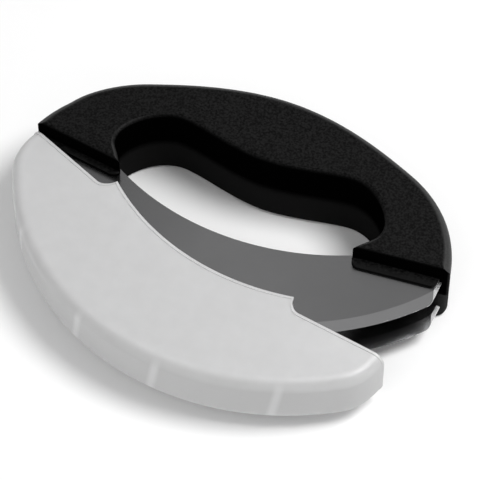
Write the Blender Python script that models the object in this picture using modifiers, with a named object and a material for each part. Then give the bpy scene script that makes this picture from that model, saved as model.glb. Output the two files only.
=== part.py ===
# Double-bladed mezzaluna lying on its side, with its slip-on blade cover swung part way off.
# X runs along the knife, +Y from the cutting edges to the grip, +Z up through the handle's thickness.
# The origin is on the handle's lower face, in the middle of the grip.

import math

import bmesh
import bpy
from mathutils import Matrix, Vector

# Driving dimensions of the handle, in metres
handle_length = 0.1802
handle_thickness = 0.0330
grip_width = 0.0347
arch_height = 0.0579
handle_rounding = 0.0030
leg_width = 0.0321
opening_height = 0.0309
grip_bulge = 0.0061
foot_length = 0.0391
foot_slope = math.radians(7.2)
upper_foot_rounding = 0.0016
lower_foot_rounding = 0.0070
ledge_width = 0.0045
ledge_thickness = 0.0007
ledge_gap = 0.0004
ledge_rounding = 0.0040
ledge_end_inset = 0.0040
ledge_end_rounding = 0.0025

# Driving dimensions of the blades
blade_thickness = 0.0013
blade_spacing = 0.0159
blade_depth = 0.0418
spine_drop = 0.0109
spine_end_rise = 0.00225
edge_end_drop = 0.01493
bevel_width = 0.0050
blade_end_inset = 0.0019
blade_end_height = 0.0068
blade_tip_height = 0.0128
blade_tip_inset = 0.0026

# Driving dimensions of the foot joints
tang_height = 0.0168
tang_inner_wall = 0.0038
tang_outer_wall = 0.0079
screw_spacing = 0.0090
screw_radius = 0.0016
screw_head_radius = 0.0032
screw_head_height = 0.0018
screw_head_depth = 0.0024
screw_end_cover = 0.0030

# Driving dimensions of the blade cover
cover_wall = 0.0014
cover_face_wall = 0.0013
cover_rounding = 0.0036
cover_edge_clearance = 0.0008
cover_end_clearance = 0.0004
cover_ledge_clearance = 0.0003
cover_foot_gap = 0.0004
cover_overlap = 0.0050
cover_horn_inset = 0.0056
cover_horn_rise = 0.00474
cover_end_height = 0.0035
cover_end_run = 0.0042
rib_thickness = 0.0018
rib_depth = 0.0070
rib_blade_gap = 0.0008
rib_angles = [math.radians(angle) for angle in (-35.5, -10.0, 10.0, 35.5)]
hinge_inset = 0.0006
hinge_rise = 0.0083
cover_swing = math.radians(14.6)

# Clearances and fineness
fit_gap = 0.0003
cut_overrun = 0.0080
weld_distance = 0.00001
curve_steps = 9
turn_steps = 224
screw_steps = 20
rounding_steps = 2


def foot_y(x):
    """Height of the sloping foot line at a distance x from the middle."""
    return foot_corner_y + (abs(x) - foot_inner_x) * math.tan(foot_slope)


def arc_radius(run, rise):
    """Radius of an arc that starts level and has climbed by a rise after a run."""
    return (run * run + rise * rise) / (2 * rise)


# Sizes worked out from the driving ones
half_length = handle_length / 2
mid_z = handle_thickness / 2
crown_y = grip_width / 2
bulge_y = -grip_width / 2
lobe_y = bulge_y + grip_bulge
foot_inner_x = half_length - foot_length
opening_half_width = half_length - leg_width
foot_corner_y = lobe_y - opening_height
blade_end_x = half_length - blade_end_inset
blade_tip_x = blade_end_x - blade_tip_inset
shoulder_x = foot_inner_x + fit_gap * 3
spine_low_y = foot_corner_y - spine_drop
edge_low_y = spine_low_y - blade_depth
edge_radius = arc_radius(blade_tip_x, foot_y(blade_end_x) - edge_end_drop - edge_low_y)
spine_radius = arc_radius(shoulder_x, spine_drop + spine_end_rise)
edge_centre_y = edge_low_y + edge_radius
spine_centre_y = spine_low_y + spine_radius
blade_face_height = blade_spacing / 2 + blade_thickness / 2
blade_inner_height = blade_spacing / 2 - blade_thickness / 2
pocket_inner_x = opening_half_width + tang_inner_wall
pocket_outer_x = half_length - tang_outer_wall
tang_top_y = foot_corner_y + tang_height
ledge_low = blade_face_height + ledge_gap
ledge_high = ledge_low + ledge_thickness
cover_inner_height = ledge_high + cover_ledge_clearance
cover_outer_height = cover_inner_height + cover_face_wall
cover_inner_radius = edge_radius + cover_edge_clearance
cover_outer_radius = cover_inner_radius + cover_wall
cover_inner_end_x = blade_end_x + cover_end_clearance
cover_outer_end_x = cover_inner_end_x + cover_wall
cover_horn_x = foot_inner_x - cover_horn_inset
mouth_low_y = spine_low_y + cover_overlap
mouth_radius = arc_radius(cover_horn_x, foot_corner_y + cover_horn_rise - mouth_low_y)


hinge_point = Vector((-(half_length - hinge_inset), foot_y(half_length) + hinge_rise, 0))

# Outline of the arch as shares of half the length and of the arch's height, from the crown to
# past the foot. Each row holds a point, its direction in degrees and its two handle lengths.
arch_shares = [
    ((0.000, 0.000), 0.0, 0.000, 0.268),
    ((0.638, 0.256), -23.5, 0.137, 0.264),
    ((1.007, 1.000), -80.8, 0.162, 0.000),
]

# Outline of the finger opening as shares of half its width and of its height, from the middle of
# the grip's bulge round the lobe. The last row ends at the foot's inner corner.
opening_shares = [
    ((0.655, 0.000), 0.0, 0.146, 0.197),
    ((1.000, 0.579), -90.0, 0.102, 0.103),
]
bulge_handle_share = 0.236
corner_handle_share = 0.132
corner_direction = math.radians(-122.0)


def clear_scene():
    """Take every object out of the open scene."""
    for item in list(bpy.data.objects):
        bpy.data.objects.remove(item, do_unlink=True)


def new_collection(name, hidden=False):
    """Make a collection in the scene."""
    group = bpy.data.collections.new(name)
    bpy.context.scene.collection.children.link(group)
    group.hide_render = hidden
    return group


def plastic(name, colour, roughness, transmission=0.0):
    """Make a plastic material."""
    material = bpy.data.materials.new(name)
    material.use_nodes = True
    shader = material.node_tree.nodes["Principled BSDF"]
    shader.inputs["Base Color"].default_value = (*colour, 1.0)
    shader.inputs["Roughness"].default_value = roughness
    shader.inputs["Metallic"].default_value = 0.0
    shader.inputs["Transmission Weight"].default_value = transmission
    return material


def metal(name, colour, roughness):
    """Make a bare metal material."""
    material = plastic(name, colour, roughness)
    material.node_tree.nodes["Principled BSDF"].inputs["Metallic"].default_value = 1.0
    return material


def knot(point, direction, before, after):
    """A curve point with its two handles along one direction."""
    place = Vector(point)
    along = Vector((math.cos(direction), math.sin(direction)))
    return (place, place - along * before, place + along * after)


def corner(point):
    """A sharp curve point."""
    place = Vector(point)
    return (place, place, place)


def mirrored(knots):
    """The same knots on the other side of the middle, in reverse order."""
    flip = Vector((-1, 1))
    return [(place * flip, after * flip, before * flip) for place, before, after in reversed(knots)]


def closed(half):
    """The whole outline from its right half, which starts on the middle line and may end on it."""
    flip = Vector((-1, 1))
    place, _, after = half[0]
    right = [(place, after * flip, after)] + half[1:]
    left = mirrored(half)[:-1]
    place, before, _ = half[-1]
    if place.x == 0:
        right[-1] = (place, before, before * flip)
        left = left[1:]
    return right + left


def arc(centre_y, radius, start, end, pieces):
    """Knots of a circular arc about a centre on the middle line, by angle from straight down."""
    step = (end - start) / pieces
    reach = abs(math.tan(step / 4)) * radius * 4 / 3
    knots = []
    for index in range(pieces + 1):
        angle = start + step * index
        point = (radius * math.sin(angle), centre_y - radius * math.cos(angle))
        direction = angle if step > 0 else angle + math.pi
        knots.append(knot(point, direction, reach if index else 0.0, reach if index < pieces else 0.0))
    return knots


def angle_at(x, radius):
    """Angle from straight down of the arc's point at a distance x from the middle."""
    return math.asin(x / radius)


def slab(name, knots, low, high, group, rounding=0.0):
    """A flat outline raised from low to high, with its rim rounded on both faces if asked."""
    data = bpy.data.curves.new(name, "CURVE")
    data.dimensions = "2D"
    data.fill_mode = "BOTH"
    data.resolution_u = curve_steps
    data.extrude = (high - low) / 2 - rounding
    data.bevel_depth = rounding
    data.bevel_resolution = rounding_steps
    data.offset = -rounding
    spline = data.splines.new("BEZIER")
    spline.bezier_points.add(len(knots) - 1)
    for index, point in enumerate(spline.bezier_points):
        place, before, after = knots[index]
        previous = knots[index - 1]
        following = knots[(index + 1) % len(knots)]
        straight_in = before == place and previous[2] == previous[0]
        straight_out = after == place and following[1] == following[0]
        point.handle_left_type = "VECTOR" if straight_in else "FREE"
        point.handle_right_type = "VECTOR" if straight_out else "FREE"
        point.co = (*place, 0)
        point.handle_left = (*before, 0)
        point.handle_right = (*after, 0)
    spline.use_cyclic_u = True
    item = bpy.data.objects.new(name, data)
    item.location.z = (low + high) / 2
    group.objects.link(item)
    return as_mesh(item)


def as_mesh(curve_object):
    """Turn a curve object into a welded mesh object of the same name and place."""
    bpy.context.view_layer.update()
    evaluated = curve_object.evaluated_get(bpy.context.evaluated_depsgraph_get())
    mesh = bpy.data.meshes.new_from_object(evaluated)
    welded = bmesh.new()
    welded.from_mesh(mesh)
    bmesh.ops.remove_doubles(welded, verts=welded.verts, dist=weld_distance)
    bmesh.ops.recalc_face_normals(welded, faces=welded.faces)
    welded.to_mesh(mesh)
    welded.free()
    name = curve_object.name
    group = curve_object.users_collection[0]
    place = curve_object.matrix_world.copy()
    bpy.data.objects.remove(curve_object, do_unlink=True)
    item = bpy.data.objects.new(name, mesh)
    item.matrix_world = place
    group.objects.link(item)
    return item


def turned(name, profile, steps, group):
    """A solid turned about Z from a profile of (radius, height) points, top to bottom."""
    mesh = bpy.data.meshes.new(name)
    edges = [(index, index + 1) for index in range(len(profile) - 1)]
    mesh.from_pydata([(radius, 0, height) for radius, height in profile], edges, [])
    item = bpy.data.objects.new(name, mesh)
    group.objects.link(item)
    screw = item.modifiers.new("turn", "SCREW")
    screw.axis = "Z"
    screw.steps = steps
    screw.render_steps = steps
    screw.use_merge_vertices = True
    screw.merge_threshold = weld_distance
    screw.use_smooth_shade = False
    return item


def box(name, low, high, group):
    """A box between two corners."""
    mesh = bpy.data.meshes.new(name)
    shape = bmesh.new()
    bmesh.ops.create_cube(shape, size=1.0)
    size = Vector(high) - Vector(low)
    middle = (Vector(high) + Vector(low)) / 2
    shape.transform(Matrix.Translation(middle) @ Matrix.Diagonal((*size, 1.0)))
    shape.to_mesh(mesh)
    shape.free()
    item = bpy.data.objects.new(name, mesh)
    group.objects.link(item)
    return item


def combine(target, other, operation):
    """Cut the other solid from the target, join it on, or keep what both share."""
    boolean = target.modifiers.new(other.name, "BOOLEAN")
    boolean.operation = operation
    boolean.object = other
    boolean.solver = "EXACT"
    other.hide_render = True
    other.display_type = "WIRE"


def finish(item, material):
    """Give a finished piece its material and smooth round faces."""
    item.data.materials.clear()
    item.data.materials.append(material)
    item.data.shade_smooth()
    item.data.set_sharp_from_angle(angle=math.radians(30))


def arch_knots():
    """Right half of the handle's outer outline, from the crown down past the foot."""
    knots = []
    for (across, down), degrees, before, after in arch_shares:
        point = (across * half_length, crown_y - down * arch_height)
        knots.append(knot(point, math.radians(degrees), before * half_length, after * half_length))
    return knots


def opening_knots():
    """Right half of the finger opening, from the middle of the bulge to the foot's inner corner."""
    width = opening_half_width
    knots = [knot((0, bulge_y), 0.0, 0.0, bulge_handle_share * width)]
    for (across, down), degrees, before, after in opening_shares:
        point = (across * width, lobe_y - down * opening_height)
        knots.append(knot(point, math.radians(degrees), before * width, after * width))
    reach = corner_handle_share * width
    knots.append(knot((foot_inner_x, foot_corner_y), corner_direction, reach, 0.0))
    return knots


def handle_blank(name, low, high, group):
    """The whole arch round its finger opening, rounded on every rim, with feet still too long."""
    outer = arch_knots()
    inner = [(place, after, before) for place, before, after in reversed(opening_knots())]
    base_y = min(outer[-1][0].y, foot_corner_y) - cut_overrun
    slant = (foot_corner_y - base_y) / math.tan(corner_direction)
    feet = [corner((outer[-1][0].x, base_y)), corner((foot_inner_x - slant, base_y))]
    return slab(name, closed(outer + feet + inner), low, high, group, handle_rounding)


def front_cutter(name, rounding, group):
    """Everything in front of the sloping foot lines and round the feet's outer corners."""
    reach = half_length + cut_overrun
    end, before, _ = arch_knots()[-1]
    up_wall = (before - end).normalized()
    turn_y = foot_y(half_length) + rounding
    on_wall = end + up_wall * (turn_y - end.y) / up_wall.y
    turn_x = half_length - rounding
    right = [
        corner((0, foot_y(0))),
        knot((turn_x, foot_y(turn_x)), foot_slope, 0.0, rounding / 2),
        knot(on_wall, math.atan2(up_wall.y, up_wall.x), rounding / 2, 0.0),
        corner((reach, turn_y)),
        corner((reach, edge_low_y)),
    ]
    return slab(name, closed(right), -cut_overrun, handle_thickness + cut_overrun, group)


def ledge(name, side, low, high, group):
    """Thin tongue in front of one foot, over the blade, with rounded ends."""
    back = cut_overrun / 2
    outer = half_length - ledge_end_inset
    inner = foot_inner_x
    turn = inner + ledge_rounding
    end = outer - ledge_end_rounding
    front = foot_y(outer) - ledge_width
    knots = [
        corner((outer, foot_y(outer) + back)),
        corner((turn, foot_y(turn) + back)),
        knot((inner, foot_corner_y), -math.pi / 2, 0.0, ledge_rounding / 2),
        knot((turn, foot_y(turn) - ledge_width), foot_slope, ledge_rounding / 2, 0.0),
        knot((end, foot_y(end) - ledge_width), foot_slope, 0.0, ledge_end_rounding / 2),
        knot((outer, front + ledge_end_rounding), math.pi / 2, ledge_end_rounding / 2, 0.0),
    ]
    if side < 0:
        knots = mirrored(knots)
    return slab(name, knots, low, high, group)


def tang_knots(clearance, front):
    """Block inside one foot, right side, from a front line up to the tang's top."""
    inner = pocket_inner_x + clearance
    outer = pocket_outer_x - clearance
    top = tang_top_y - clearance
    return [
        corner((inner, foot_y(inner) - front)),
        corner((outer, foot_y(outer) - front)),
        corner((outer, top)),
        corner((inner, top)),
    ]


def screw_places():
    """Centres of the four foot screws."""
    middle_x = (pocket_inner_x + pocket_outer_x) / 2
    middle_y = (foot_y(middle_x) + tang_top_y) / 2
    places = []
    for side in (-1, 1):
        for step in (-1, 1):
            places.append((side * (middle_x + step * screw_spacing / 2), middle_y))
    return places


def hole_cutter(name, place, low, high, group, seat=None):
    """Round screw hole from low to high, with a wider sink for the head below the seat."""
    radius = screw_radius + fit_gap
    profile = [(0, high), (radius, high), (radius, low), (0, low)]
    if seat is not None:
        wide = screw_head_radius + fit_gap
        profile = [(0, high), (radius, high), (radius, seat), (wide, seat), (wide, low), (0, low)]
    item = turned(name, profile, screw_steps, group)
    item.location = (*place, 0)
    return item


def handle_shell(name, upper, cutters, group):
    """One moulded half of the handle, with its foot pockets, ledges and screw holes."""
    side = 1 if upper else -1

    def level(height):
        return mid_z + side * height

    seam = fit_gap / 2
    item = handle_blank(name, 0.0, handle_thickness, group)
    rounding = upper_foot_rounding if upper else lower_foot_rounding
    combine(item, front_cutter(name + "_front", rounding, cutters), "DIFFERENCE")
    reach = half_length + cut_overrun
    levels = sorted((level(-handle_thickness), level(seam)))
    other_half = box(
        name + "_split", (-reach, -arch_height * 2, levels[0]), (reach, arch_height, levels[1]), cutters
    )
    combine(item, other_half, "DIFFERENCE")
    for foot in (-1, 1):
        label = name + ("_right" if foot > 0 else "_left")
        levels = sorted((level(-seam), level(blade_face_height + fit_gap)))
        knots = tang_knots(0.0, cut_overrun / 2)
        pocket = slab(label + "_pocket", knots if foot > 0 else mirrored(knots), *levels, cutters)
        combine(item, pocket, "DIFFERENCE")
        levels = sorted((level(ledge_low), level(ledge_high)))
        combine(item, ledge(label + "_ledge", foot, *levels, cutters), "UNION")
    for index, place in enumerate(screw_places()):
        label = f"{name}_hole_{index + 1}"
        if upper:
            top = handle_thickness - screw_end_cover + fit_gap
            hole = hole_cutter(label, place, mid_z, top, cutters)
        else:
            seat = screw_head_depth + screw_head_height + fit_gap
            hole = hole_cutter(label, place, -cut_overrun, mid_z, cutters, seat)
        combine(item, hole, "DIFFERENCE")
    return item


def blade_outline():
    """Blade with its two tangs, reaching past the ground edge, which the edge wheel trims."""
    spine = arc(spine_centre_y, spine_radius, 0.0, angle_at(shoulder_x, spine_radius), 2)
    inner = foot_inner_x - fit_gap
    tang = tang_knots(fit_gap, fit_gap)
    end_top = foot_y(blade_end_x) - fit_gap
    end_low = end_top - blade_end_height
    tip = Vector((blade_tip_x, end_top - blade_tip_height))
    right = spine + [
        corner((inner, foot_y(inner) - fit_gap)),
        tang[0],
        tang[3],
        tang[2],
        tang[1],
        corner((blade_end_x, end_top)),
        knot((blade_end_x, end_low), -math.pi / 2, 0.0, blade_end_height / 2),
        knot(tip, math.radians(-125), blade_end_height / 3, 0.0),
        corner((foot_inner_x, edge_low_y - cut_overrun)),
    ]
    return closed(right)


def blade(name, height, cutters, group):
    """One crescent blade, ground to an edge from both faces."""
    low = mid_z + height - blade_thickness / 2
    item = slab(name, blade_outline(), low, low + blade_thickness, group)
    half = blade_thickness
    shoulder = edge_radius - bevel_width * half / (blade_thickness / 2)
    profile = [(0, half), (shoulder, half), (edge_radius, 0), (shoulder, -half), (0, -half)]
    wheel = turned(name + "_edge_wheel", profile, turn_steps, cutters)
    wheel.location = (0, edge_centre_y, mid_z + height)
    combine(item, wheel, "INTERSECT")
    for index, place in enumerate(screw_places()):
        label = f"{name}_hole_{index + 1}"
        hole = hole_cutter(label, place, low - blade_thickness, low + blade_thickness * 2, cutters)
        combine(item, hole, "DIFFERENCE")
    return item


def spacer(name, foot, cutters, group):
    """Block that holds the two tangs apart inside one foot."""
    knots = tang_knots(fit_gap, 0.0)
    half = blade_inner_height - fit_gap
    item = slab(name, knots if foot > 0 else mirrored(knots), mid_z - half, mid_z + half, group)
    for index, place in enumerate(screw_places()):
        if place[0] * foot > 0:
            label = f"{name}_hole_{index + 1}"
            hole = hole_cutter(label, place, 0.0, handle_thickness, cutters)
            combine(item, hole, "DIFFERENCE")
    return item


def foot_screw(name, place, group):
    """Screw that clamps one foot, its head sunk in the lower face."""
    head_low = screw_head_depth
    head_high = head_low + screw_head_height
    tip = handle_thickness - screw_end_cover
    profile = [
        (0, tip),
        (screw_radius, tip),
        (screw_radius, head_high),
        (screw_head_radius, head_high),
        (screw_head_radius, head_low),
        (0, head_low),
    ]
    item = turned(name, profile, screw_steps, group)
    item.location = (*place, 0)
    return item


def cover_shape(name, radius, end_x, top_y, low, high, group, rounding=0.0):
    """Crescent round the cutting edges, closed straight across above the cover's mouth."""
    end_y = foot_y(end_x) - cover_foot_gap
    bend_y = end_y - cover_end_height
    start = math.asin((end_x - cover_end_run) / radius)
    edge = arc(edge_centre_y, radius, 0.0, start, 3)
    place, before, _ = edge[-1]
    reach = (Vector((end_x, bend_y)) - place).length / 3
    edge[-1] = (place, before, place + (place - before).normalized() * reach)
    right = edge + [
        knot((end_x, bend_y), math.pi / 2, reach, 0.0),
        corner((end_x, top_y)),
    ]
    return slab(name, closed(right), low, high, group, rounding)


def mouth_cutter(group):
    """Everything above the cover's concave mouth, its horns and its straight foot edges."""
    end = angle_at(cover_horn_x, mouth_radius)
    mouth = arc(mouth_low_y + mouth_radius, mouth_radius, 0.0, end, 2)
    reach = cover_outer_end_x + cut_overrun
    notch_x = foot_inner_x + fit_gap * 2
    notch_reach = (notch_x - cover_horn_x) / 2
    place, before, _ = mouth[-1]
    mouth[-1] = (place, before, place + Vector((0, -notch_reach / 2)))
    right = mouth + [
        knot((notch_x, foot_y(notch_x) - cover_foot_gap), foot_slope, notch_reach, 0.0),
        corner((reach, foot_y(reach) - cover_foot_gap)),
        corner((reach, crown_y + cut_overrun)),
    ]
    return slab("mouth_cutter", closed(right), -cut_overrun, handle_thickness + cut_overrun, group)


def rib(name, angle, group):
    """Upright web inside the cover's rim, between the two blades."""
    outer = cover_inner_radius + cover_wall / 2
    inner = cover_inner_radius - rib_depth
    half = blade_inner_height - rib_blade_gap
    width = rib_thickness / 2
    item = box(name, (-width, -outer, -half), (width, -inner, half), group)
    item.location = (0, edge_centre_y, mid_z)
    item.rotation_euler.z = angle
    return item


def blade_cover(name, cutters, group):
    """Slip-on cover: a channel closed round the cutting edges and open towards the grip."""
    outer = cover_outer_height
    inner = cover_inner_height
    levels = (mid_z - outer, mid_z + outer)
    item = cover_shape(
        name, cover_outer_radius, cover_outer_end_x, lobe_y, *levels, group, cover_rounding
    )
    levels = (mid_z - inner, mid_z + inner)
    hollow = cover_shape(
        name + "_hollow", cover_inner_radius, cover_inner_end_x, crown_y, *levels, cutters
    )
    combine(item, hollow, "DIFFERENCE")
    for index, angle in enumerate(rib_angles):
        combine(item, rib(f"{name}_rib_{index + 1}", angle, cutters), "UNION")
    combine(item, mouth_cutter(cutters), "DIFFERENCE")
    return item


def hang_on_hinge(item, group):
    """Swing the closed cover, with its cutters, about the handle's left tip to where it rests."""
    pivot = bpy.data.objects.new("cover_pivot", None)
    pivot.location = hinge_point
    pivot.rotation_euler.z = -cover_swing
    group.objects.link(pivot)
    cutters = [boolean.object for boolean in item.modifiers]
    for piece in [item] + cutters:
        piece.parent = pivot
        piece.location = piece.location - hinge_point


def build():
    """Model every piece of the mezzaluna."""
    clear_scene()
    pieces = new_collection("mezzaluna")
    cutters = new_collection("cutters", hidden=True)
    black = plastic("black_handle_plastic", (0.018, 0.018, 0.019), 0.45)
    inner_black = plastic("black_spacer_plastic", (0.012, 0.012, 0.013), 0.55)
    steel = metal("ground_blade_steel", (0.42, 0.42, 0.43), 0.32)
    screw_steel = metal("screw_steel", (0.55, 0.55, 0.56), 0.35)
    white = plastic("clouded_white_plastic", (0.80, 0.80, 0.80), 0.40, 0.25)

    finish(handle_shell("upper_shell", True, cutters, pieces), black)
    finish(handle_shell("lower_shell", False, cutters, pieces), black)
    finish(blade("upper_blade", blade_spacing / 2, cutters, pieces), steel)
    finish(blade("lower_blade", -blade_spacing / 2, cutters, pieces), steel)
    finish(spacer("left_spacer", -1, cutters, pieces), inner_black)
    finish(spacer("right_spacer", 1, cutters, pieces), inner_black)
    for index, place in enumerate(screw_places()):
        finish(foot_screw(f"foot_screw_{index + 1}", place, pieces), screw_steel)
    cover = blade_cover("blade_cover", cutters, pieces)
    finish(cover, white)
    hang_on_hinge(cover, pieces)


build()
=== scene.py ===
# A double-bladed mezzaluna on its side on a white table, with its clouded slip-on cover swung half off.
# Everything is in metres: X along the knife, +Y from the cutting edges to the grip, +Z up.

import math

import bmesh
import bpy
from mathutils import Matrix, Vector


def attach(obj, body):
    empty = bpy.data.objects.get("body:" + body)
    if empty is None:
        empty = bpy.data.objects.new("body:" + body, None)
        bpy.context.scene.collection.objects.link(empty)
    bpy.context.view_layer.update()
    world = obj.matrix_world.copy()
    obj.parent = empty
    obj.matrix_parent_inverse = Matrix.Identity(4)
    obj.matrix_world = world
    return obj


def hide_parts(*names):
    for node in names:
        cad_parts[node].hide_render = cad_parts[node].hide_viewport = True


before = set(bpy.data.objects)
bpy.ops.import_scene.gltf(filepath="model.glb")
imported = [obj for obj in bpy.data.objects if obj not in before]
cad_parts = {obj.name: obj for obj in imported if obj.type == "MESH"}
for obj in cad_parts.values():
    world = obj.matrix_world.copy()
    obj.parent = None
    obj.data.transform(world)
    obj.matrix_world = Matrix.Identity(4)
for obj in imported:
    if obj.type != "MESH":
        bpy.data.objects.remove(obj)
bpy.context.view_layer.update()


# The handle: two halves moulded in matte black plastic with a spark-textured skin, closed against each
# other round the blades' tangs. Every rim is rounded, a thin tongue of each half lies over its blade in
# front of each foot, and the left end is a little longer than the right.
half_length = 0.0901
handle_thickness = 0.0330
grip_width = 0.0347
arch_height = 0.0579
rim_rounding = 0.0042
opening_rounding = 0.0020
leg_width = 0.0321
opening_height = 0.0309
grip_bulge = 0.0061
foot_length = 0.0391
foot_slope = math.radians(7.2)
foot_corners = {"upper_shell": 0.0016, "lower_shell": 0.0070}
tongue_width = 0.0045
left_tongue_width = 0.0030
tongue_thickness = 0.00095
tongue_gap = 0.00015
tongue_turn = 0.0040
tongue_end_inset = 0.0040
tongue_end_turn = 0.0025
shell_seam = 0.00004
foot_edge = 0.0012
shell_edge = 0.00015
end_growth = 0.0013
overrun = 0.0080
weld = 0.000005
rim_steps = 5
outline_steps = 24
smooth_steps = 32
hole_steps = 8
sink_steps = 13

mid_z = handle_thickness / 2
crown_y = grip_width / 2
bulge_y = -grip_width / 2
lobe_y = bulge_y + grip_bulge
foot_inner_x = half_length - foot_length
foot_corner_y = lobe_y - opening_height
opening_half = half_length - leg_width
corner_direction = math.radians(-122.0)


def foot_y(x):
    """Height of the sloping foot line at a distance x from the middle."""
    return foot_corner_y + (abs(x) - foot_inner_x) * math.tan(foot_slope)


def knot(point, direction, before, after):
    """A curve point with its two handles along one direction."""
    place = Vector(point)
    along = Vector((math.cos(direction), math.sin(direction)))
    return (place, place - along * before, place + along * after)


def corner(point):
    """A sharp curve point."""
    place = Vector(point)
    return (place, place, place)


def mirrored(knots):
    """The same knots on the other side of the middle, in reverse order."""
    flip = Vector((-1, 1))
    return [(place * flip, after * flip, before * flip) for place, before, after in reversed(knots)]


def closed(half):
    """The whole outline from its right half, which starts on the middle line and may end on it."""
    flip = Vector((-1, 1))
    place, _, after = half[0]
    right = [(place, after * flip, after)] + half[1:]
    left = mirrored(half)[:-1]
    place, before, _ = half[-1]
    if place.x == 0:
        right[-1] = (place, before, before * flip)
        left = left[1:]
    return right + left


def plain(item):
    """Turn an object with its modifiers into a plain welded mesh at the origin."""
    bpy.context.view_layer.update()
    evaluated = item.evaluated_get(bpy.context.evaluated_depsgraph_get())
    mesh = bpy.data.meshes.new_from_object(evaluated)
    mesh.transform(item.matrix_world)
    name = item.name
    bpy.data.objects.remove(item, do_unlink=True)
    shape = bmesh.new()
    shape.from_mesh(mesh)
    bmesh.ops.remove_doubles(shape, verts=shape.verts, dist=weld)
    bmesh.ops.recalc_face_normals(shape, faces=shape.faces)
    shape.to_mesh(mesh)
    shape.free()
    mesh.name = name
    made = bpy.data.objects.new(name, mesh)
    bpy.context.scene.collection.objects.link(made)
    return made


def plate(name, knots, low, high, rounding=0.0, fineness=outline_steps):
    """A flat outline raised from low to high, with its rim rounded on both faces if asked."""
    data = bpy.data.curves.new(name, "CURVE")
    data.dimensions = "2D"
    data.fill_mode = "BOTH"
    data.resolution_u = fineness
    data.extrude = (high - low) / 2 - rounding
    data.bevel_depth = rounding
    data.bevel_resolution = rim_steps
    data.offset = -rounding
    spline = data.splines.new("BEZIER")
    spline.bezier_points.add(len(knots) - 1)
    for index, point in enumerate(spline.bezier_points):
        place, before, after = knots[index]
        previous = knots[index - 1]
        following = knots[(index + 1) % len(knots)]
        straight_in = before == place and previous[2] == previous[0]
        straight_out = after == place and following[1] == following[0]
        point.handle_left_type = "VECTOR" if straight_in else "FREE"
        point.handle_right_type = "VECTOR" if straight_out else "FREE"
        point.co = (*place, 0)
        point.handle_left = (*before, 0)
        point.handle_right = (*after, 0)
    spline.use_cyclic_u = True
    item = bpy.data.objects.new(name, data)
    item.location.z = (low + high) / 2
    bpy.context.scene.collection.objects.link(item)
    return plain(item)


def combine(target, others, operation):
    """Cut the other solids from the target, join them on, or keep what all share."""
    for other in others:
        boolean = target.modifiers.new(other.name, "BOOLEAN")
        boolean.operation = operation
        boolean.object = other
        boolean.solver = "EXACT"
    made = plain(target)
    for other in others:
        bpy.data.objects.remove(other, do_unlink=True)
    return made


def broken(item, width, least=35.0):
    """Break the sharp edges of a mesh."""
    shape = bmesh.new()
    shape.from_mesh(item.data)
    bmesh.ops.remove_doubles(shape, verts=shape.verts, dist=2 * weld)
    bmesh.ops.dissolve_degenerate(shape, edges=shape.edges, dist=2 * weld)
    edges = []
    for edge in shape.edges:
        if len(edge.link_faces) == 2 and edge.calc_face_angle() > math.radians(least):
            edges.append(edge)
    bmesh.ops.bevel(
        shape, geom=edges, offset=width, segments=2, profile=0.5, affect="EDGES", clamp_overlap=True
    )
    shape.to_mesh(item.data)
    shape.free()
    return item


def soften(item, width, crease=40.0, least=35.0):
    """Break the sharp edges, and smooth the shading but for creases."""
    broken(item, width, least=least)
    item.data.shade_smooth()
    item.data.set_sharp_from_angle(angle=math.radians(crease))
    weighted = item.modifiers.new("weighted", "WEIGHTED_NORMAL")
    weighted.keep_sharp = True
    return plain_shading(item)


def plain_shading(item):
    """Keep the evaluated mesh with its weighted normals and drop the modifier."""
    bpy.context.view_layer.update()
    evaluated = item.evaluated_get(bpy.context.evaluated_depsgraph_get())
    item.data = bpy.data.meshes.new_from_object(evaluated)
    item.modifiers.clear()
    return item


def painted(item, material):
    """Give a piece one material."""
    item.data.materials.clear()
    item.data.materials.append(material)


def grey(level):
    """A grey colour."""
    return (level, level, level)


def shader_of(name, base, roughness, metallic=0.0):
    """A new material, its node tree and its principled shader."""
    material = bpy.data.materials.new(name)
    material.use_nodes = True
    tree = material.node_tree
    shader = tree.nodes["Principled BSDF"]
    shader.inputs["Base Color"].default_value = (*base, 1.0)
    shader.inputs["Roughness"].default_value = roughness
    shader.inputs["Metallic"].default_value = metallic
    return material, tree, shader


def place_of(tree):
    """The place on a piece, in the piece's own coordinates."""
    return tree.nodes.new("ShaderNodeTexCoord").outputs["Object"]


def facing_of(tree):
    """The direction that the surface faces."""
    return tree.nodes.new("ShaderNodeNewGeometry").outputs["Normal"]


def parts_of(tree, source):
    """The X, Y and Z of a linked vector."""
    axes = tree.nodes.new("ShaderNodeSeparateXYZ")
    tree.links.new(source, axes.inputs["Vector"])
    return axes.outputs


def noise(tree, scale, detail=2.0, stretch=(1.0, 1.0, 1.0)):
    """Noise over the piece's own coordinates, with a scale in units of one over metres."""
    mapping = tree.nodes.new("ShaderNodeMapping")
    mapping.inputs["Scale"].default_value = stretch
    pattern = tree.nodes.new("ShaderNodeTexNoise")
    pattern.inputs["Scale"].default_value = scale
    pattern.inputs["Detail"].default_value = detail
    tree.links.new(place_of(tree), mapping.inputs["Vector"])
    tree.links.new(mapping.outputs["Vector"], pattern.inputs["Vector"])
    return pattern.outputs["Fac"]


def spread(tree, source, low, high, start=0.3, end=0.7):
    """Turn a pattern's run from start to end into one from low to high, held level past both."""
    ranged = tree.nodes.new("ShaderNodeMapRange")
    ranged.inputs["From Min"].default_value = start
    ranged.inputs["From Max"].default_value = end
    ranged.inputs["To Min"].default_value = low
    ranged.inputs["To Max"].default_value = high
    tree.links.new(source, ranged.inputs["Value"])
    return ranged.outputs["Result"]


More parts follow.
